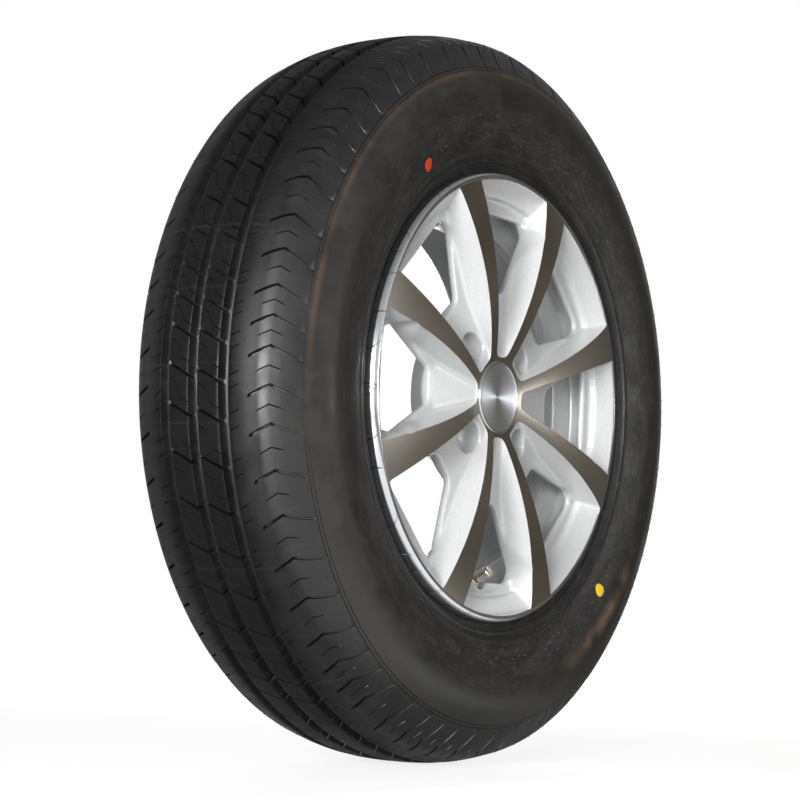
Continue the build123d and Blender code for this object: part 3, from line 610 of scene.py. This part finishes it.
# foundry fillets: each corner of the skin drifts to the mean of its neighbours, less in the bolt sockets
softCast = bakedMesh(casting)
spots = np.zeros(len(softCast.vertices) * 3)
softCast.vertices.foreach_get("co", spots)
spots = spots.reshape(-1, 3)
ends = np.zeros(len(softCast.edges) * 2, int)
softCast.edges.foreach_get("vertices", ends)
ends = ends.reshape(-1, 2)
socket = np.zeros(len(spots), bool)
for k in range(wheelForm["bolts"]):
    turn = math.radians(wheelForm["boltStart"] + 360 / wheelForm["bolts"] * k)
    bolt = wheelForm["boltCircle"] * np.array([math.cos(turn), math.sin(turn)])
    socket |= np.hypot(spots[:, 0] / mm - bolt[0], spots[:, 2] / mm - bolt[1]) < wheelForm["socketRadius"]
rounds = np.where(socket, wheelForm["socketRounds"], wheelForm["rounds"])
links = np.bincount(ends.ravel(), minlength=len(spots))
for step in range(int(rounds.max())):
    sums = [np.bincount(ends[:, 0], spots[ends[:, 1], i], len(spots))
            + np.bincount(ends[:, 1], spots[ends[:, 0], i], len(spots)) for i in range(3)]
    pull = np.stack(sums, 1) / links[:, None] - spots
    spots += pull * (wheelForm["drift"] * (step < rounds))[:, None]
softCast.vertices.foreach_set("co", spots.ravel())
softCast.materials.clear()
softCast.materials.append(silverLacquer)
casting.modifiers.clear()
casting.data = softCast
cut = casting.modifiers.new("turn", "BOOLEAN")
cut.operation, cut.object, cut.solver, cut.material_mode = "INTERSECT", trim, "MANIFOLD", "TRANSFER"
discMesh = bakedMesh(casting)
for spent in (casting, trim):
    bpy.data.objects.remove(spent)
dressPiece("wheel_disc", discMesh, "cast_alloy", ["alloy_wheel"], sharpAngle=wheelForm["sharpAngle"])
addPiece("rim_lip", *turnedRing(wheelForm["lip"], wheelForm["segments"]), polishedAluminium, "cast_alloy",
         replaced=["alloy_wheel"], sharpAngle=wheelForm["rimAngle"])
addPiece("rim_barrel", *turnedRing(wheelForm["barrel"], wheelForm["segments"]), silverLacquer, "cast_alloy",
         replaced=["alloy_wheel"], sharpAngle=wheelForm["rimAngle"])
print("wheel made: disc of", len(discMesh.polygons), "faces")

# centre cap: thin bright bead round a plain spun face, (radius, place) in mm
capForm = {"bead": [(27.0, -70.6), (27.15, -71.1), (27.5, -71.45), (27.95, -71.55), (28.5, -71.4), (28.95, -71.0),
                    (29.2, -70.4), (29.2, -67.2), (26.5, -67.2)],
           "face": [(0.001, -69.6), (4, -69.62), (9, -69.72), (14, -69.9), (19, -70.12), (23, -70.36), (24.7, -70.5),
                    (25.9, -70.75), (26.6, -71.02), (27.1, -71.1)],
           "segments": 128}
addPiece("cap_bead", *turnedRing(capForm["bead"], capForm["segments"]), polishedAluminium, "cap_plastic")
# lathe-spun sheet: pale blue grey, light gathers in a streak through the centre
spunLook = {"metal": "#e9edf2", "dull": "#d2d8df", "feed": 0.35, "detail": 2.0, "relief": 0, "rough": 0.36,
            "streak": 0.85}
spunAluminium = latheMetal("spun aluminium", spunLook)
addPiece("cap_face", *turnedRing(capForm["face"], capForm["segments"], False), spunAluminium, "spun_metal",
         replaced=["cap_face_disc"])
print("cap made")

# clamp-in valve: threaded stem, hexagon nut, washer and fluted dust cap; (radius, place) in mm up the stem
valveForm = {"seat": (0, -48.0, -151.6), "way": (0, -0.8660254, 0.5), "segments": 64,
             "threadStep": 0.8, "threadCrest": (0.4, 0.6),
             "stemFoot": [(1.9, -12.4), (6.8, -12.4), (7.0, -12.2), (7.0, -10.2), (6.9, -10.0), (4.4, -10.0),
                          (4.4, 5.9)],
             "nutThread": (6.0, 8.4, 4.38, 4.0), "stemNeck": [(4.0, 8.5), (3.3, 8.6), (3.3, 10.4)],
             "capThread": (10.5, 20.2, 3.84, 3.5), "stemBore": [(3.6, 20.5), (2.65, 20.5), (2.65, 7.5), (1.9, 7.5)],
             "washer": [(4.5, 0.02), (7.2, 0.02), (7.38, 0.2), (7.38, 0.95), (7.0, 1.28), (4.5, 1.28)],
             "nut": [(4.5, 1.32), (5.75, 1.32), (7, 1.65), (7, 6.15), (5.75, 6.5), (4.7, 6.5), (4.5, 6.3)],
             "nutFlats": 11.0, "nutSegments": 72, "nutAngle": 20,
             "capBore": [(0.001, 22.0), (3.97, 22.0), (3.97, 12.1)],
             # outside of the dust cap, with the share of the flutes
             "capSide": [(4.3, 12.1, 0), (4.55, 12.35, 0), (4.55, 13.3, 0), (4.2, 13.6, 0), (4.2, 14.0, 0),
                         (4.58, 14.3, 0), (4.6, 14.7, 1), (4.6, 20.9, 1), (4.58, 21.3, 0), (4.5, 22.1, 0),
                         (4.2, 22.9, 0), (3.6, 23.4, 0), (2.4, 23.58, 0), (1.7, 23.5, 0), (1.3, 23.0, 0),
                         (0.001, 22.8, 0)],
             "flutes": 24, "fluteDepth": 0.2, "capRadius": 4.6, "capSegments": 96, "capAngle": 40}
seat, way = Vector(valveForm["seat"]) * mm, Vector(valveForm["way"])
across = Vector((1, 0, 0))
upright = across.cross(way)


def ontoValve(corners):  # from the axle's frame to the valve's
    return [seat + across * x + way * y + upright * z for x, y, z in corners]


def threadLine(first, last, crest, root):
    step = valveForm["threadStep"]
    tooth = [(root, 0)] + [(crest, part) for part in valveForm["threadCrest"]]
    turns = int((last - first) / step)
    return [(radius, first + step * (k + part)) for k in range(turns) for radius, part in tooth]


# nickel-plated brass: warm silver, with the yellow of the brass where handling thins the plating
plateLook = {"nickel": "#cfc9bf", "brass": "#b28e55", "worn": 2.5, "rough": 0.24}
nickelPlate, tree, shader = newMaterial("nickel plated brass")
worn = addNode(tree, "TexNoise", {"Vector": addNode(tree, "TexCoord").outputs["Object"],
                                  "Scale": 1 / (plateLook["worn"] * mm), "Detail": 4.0})
shadeAndWear = addNode(tree, "MapRange", {"Value": worn, "From Min": 0.5, "From Max": 0.66, "To Max": 0.5})
tint = addNode(tree, "Mix", {"Factor": shadeAndWear, "A": hexColour(plateLook["nickel"]), "B": hexColour(plateLook["brass"])},
               data_type="RGBA")
rough = addNode(tree, "MapRange", {"Value": worn, "To Min": plateLook["rough"] * 0.6,
                                   "To Max": plateLook["rough"] * 1.6})
setSockets(tree, shader, {"Base Color": tint, "Roughness": rough, "Metallic": 1.0})

stemLine = valveForm["stemFoot"] + threadLine(*valveForm["nutThread"]) + valveForm["stemNeck"]
stemLine += threadLine(*valveForm["capThread"]) + valveForm["stemBore"]
roundParts = (("stem_threaded", stemLine, "valve_stem"), ("stem_washer", valveForm["washer"], "valve_washer"))
for name, line, node in roundParts:
    corners, faces = turnedRing(line, valveForm["segments"])
    addPiece(name, ontoValve(corners), faces, nickelPlate, "valve_brass", replaced=[node])
corners, faces = turnedRing(valveForm["nut"], valveForm["nutSegments"])
hexagon = []
for x, y, z in corners:  # the ring is clipped by the six flats
    turn = math.atan2(z, x)
    flat = valveForm["nutFlats"] / 2 * mm / math.cos((turn % math.radians(60)) - math.radians(30))
    radius = min(math.hypot(x, z), flat)
    hexagon.append((radius * math.cos(turn), y, radius * math.sin(turn)))
addPiece("stem_nut", ontoValve(hexagon), faces, nickelPlate, "valve_brass", replaced=["valve_nut"],
         sharpAngle=valveForm["nutAngle"])
capLine = [(r, y, 0) for r, y in valveForm["capBore"]] + valveForm["capSide"]
corners, faces = turnedRing([(r, y) for r, y, _ in capLine], valveForm["capSegments"], False)
fluteShare = valveForm["fluteDepth"] / valveForm["capRadius"]
fluted = []
for number, (x, y, z) in enumerate(corners):
    wave = 0.5 - 0.5 * math.cos(valveForm["flutes"] * math.atan2(z, x))
    dip = 1 - capLine[number % len(capLine)][2] * fluteShare * wave
    fluted.append((x * dip, y, z * dip))
addPiece("dust_cap_fluted", ontoValve(fluted), faces, nickelPlate, "valve_brass", replaced=["valve_cap"],
         body="dust_cap", sharpAngle=valveForm["capAngle"])
print("valve made")

# nodes whose CAD shape is right keep it and get their own finish: two tones, metallic, roughness,
# grain and relief in mm, the grain drawn coarser than real, to show
finishes = {"moulded seal rubber": ("#262627", "#1d1d1e", 0.0, 0.55, 0.4, 0.05),  # matt black
            "turned brass": ("#a9864a", "#c09a55", 1.0, 0.25, 0.6, 0.01),  # bright yellow
            "moulded silver ABS": ("#999da1", "#a7abaf", 0.0, 0.42, 0.7, 0.03),  # plain satin grey
            "rolled spring steel": ("#7b7f83", "#8f9396", 1.0, 0.3, 1.2, 0.01)}  # cool grey with a soft shine
wearers = {"valve_grommet": "moulded seal rubber", "valve_cap_seal": "moulded seal rubber",
           "valve_core_barrel": "turned brass", "valve_core_pin": "turned brass",
           "centre_cap": "moulded silver ABS", "cap_spring_band": "rolled spring steel"}
made = {}
for name, (dark, light, metallic, roughness, grainSize, height) in finishes.items():
    made[name], tree, shader = newMaterial(name)
    grain = addNode(tree, "TexNoise", {"Vector": addNode(tree, "TexCoord").outputs["Object"],
                                       "Scale": 1 / (grainSize * mm), "Detail": 3.0})
    tint = addNode(tree, "Mix", {"Factor": grain, "A": hexColour(dark), "B": hexColour(light)}, data_type="RGBA")
    relief = addNode(tree, "Bump", {"Height": grain, "Strength": 0.3, "Distance": height * mm})
    rough = addNode(tree, "MapRange", {"Value": grain, "To Min": roughness * 0.8, "To Max": roughness * 1.2})
    setSockets(tree, shader, {"Base Color": tint, "Normal": relief, "Roughness": rough, "Metallic": metallic})
for node, name in wearers.items():
    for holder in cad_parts[node].material_slots:
        holder.material = made[name]

# vent spews: short rubber whiskers that the mould's vents leave on shoulder and tread,
# and curled ones over the rim's lip
spewForm = {"seed": 7, "radius": 0.42, "length": 0.8, "lengthSpread": (0.6, 1.3), "root": 0.3, "taper": 0.55,
            "jitter": 0.1,
            "places": [(73.0, 2, 3.4), (43.6, 1, 9.0), (57.5, 1, 14.5)],  # place, how many to a pitch, offset
            "lipCount": 46, "lipRadius": 0.34, "lipSpread": 0.35, "lipCurl": 0.012, "lipLeast": 3,
            "lipLine": [(184.0, -70.0), (183.0, -73.4), (182.0, -76.0), (180.0, -77.95), (177.2, -78.8)]}
chance = np.random.default_rng(spewForm["seed"])
corners, faces = [], []


def addWhisker(line, radius, turns):  # a tapering tube along points (radius, place), each at its own turn
    first, last = len(corners), len(line) - 1
    for k, ((r, y), turn) in enumerate(zip(line, turns)):
        thick = radius * (1 - spewForm["taper"] * k / last)
        before, after = line[max(k - 1, 0)], line[min(k + 1, last)]
        lean = Vector((after[0] - before[0], after[1] - before[1])).normalized()
        for sideways, raised in ((1, 0), (0, 1), (-1, 0), (0, -1)):
            rr, yy, tt = r + raised * thick * lean.y, y - raised * thick * lean.x, turn + sideways * thick / r
            corners.append((rr * mm * math.cos(tt), yy * mm, rr * mm * math.sin(tt)))
    for k in range(last):
        a = first + 4 * k
        faces.extend((a + i, a + (i + 1) % 4, a + 4 + (i + 1) % 4, a + 4 + i) for i in range(4))
    end = first + 4 * last
    faces.append((end, end + 1, end + 2, end + 3))


for index, pitch in enumerate(pitches):
    for y, count, offset in spewForm["places"]:
        reach = reachAtPlace(y)
        for side in (-1, 1):
            for k in range(count):
                shift = (k + chance.uniform(-spewForm["jitter"], spewForm["jitter"])) * pitch / count
                turn = angles[index] + (-side * offset + shift) / runRadius
                tall = spewForm["length"] * chance.uniform(*spewForm["lengthSpread"])
                line = [sectionPoint(reach, spewForm["root"]), sectionPoint(reach, -tall)]
                addWhisker([(r, side * place) for place, r in line], spewForm["radius"], [turn, turn])
for k in range(spewForm["lipCount"]):
    spread = chance.uniform(-spewForm["lipSpread"], spewForm["lipSpread"])
    turn = 2 * math.pi * (k + spread) / spewForm["lipCount"]
    keep = chance.integers(spewForm["lipLeast"], len(spewForm["lipLine"]) + 1)
    curl = chance.uniform(-spewForm["lipCurl"], spewForm["lipCurl"])
    addWhisker(spewForm["lipLine"][:keep], spewForm["lipRadius"], [turn + curl * i * i / 4 for i in range(keep)])
addPiece("vent_spews", corners, faces, tyreRubber, "tyre_rubber")

# paint marks: thick opaque dabs of marking paint on the street sidewall, chipped to the rubber here and there
markForm = {"dabs": {"red": ("#ee3a1e", 208.5, 127.5, 5.8),  # colour, radius, turn, size
                     "yellow": ("#f7d20c", 214.7, -44.15, 6.1)},
            "height": 0.15, "rimSunk": 0.1, "wobble": 0.04, "lobes": 3, "rings": 5, "innerShare": 0.02, "spokes": 28,
            "chip": 1.6, "relief": 0.1, "rough": 0.5}
for tone, (colour, radius, degrees, dabSize) in markForm["dabs"].items():
    paint, tree, shader = newMaterial(tone + " marking paint")
    chip = addNode(tree, "TexNoise", {"Vector": addNode(tree, "TexCoord").outputs["Object"],
                                      "Scale": 1 / (markForm["chip"] * mm), "Detail": 3.0})
    bare = addNode(tree, "MapRange", {"Value": chip, "From Min": 0.66, "From Max": 0.7})
    tint = addNode(tree, "Mix", {"Factor": bare, "A": hexColour(colour), "B": hexColour(rubberLook["rub"])},
                   data_type="RGBA")
    relief = addNode(tree, "Bump", {"Height": chip, "Strength": 0.3, "Distance": markForm["relief"] * mm})
    setSockets(tree, shader, {"Base Color": tint, "Normal": relief, "Roughness": markForm["rough"]})
    middle = reachAtRadius(radius)
    lastRing, count = markForm["rings"] - 1, markForm["spokes"]
    corners, faces = [], []
    for ringNumber in range(markForm["rings"]):
        share = (ringNumber + markForm["innerShare"]) / lastRing
        tall = markForm["height"] if ringNumber < lastRing else -markForm["rimSunk"]
        for k in range(count):
            turn = 2 * math.pi * k / count
            edge = dabSize * share * (1 + markForm["wobble"] * math.sin(markForm["lobes"] * turn + radius))
            place, r = sectionPoint(middle + edge * math.cos(turn), -tall)
            spin = math.radians(degrees) + edge * math.sin(turn) / radius
            corners.append((r * mm * math.cos(spin), -place * mm, r * mm * math.sin(spin)))
    for a in range(0, lastRing * count, count):
        faces += [(a + k, a + (k + 1) % count, a + count + (k + 1) % count, a + count + k) for k in range(count)]
    faces.append(tuple(range(count)))
    addPiece("paint_mark_" + tone, corners, faces, paint, "tyre_rubber")
print("small pieces made")
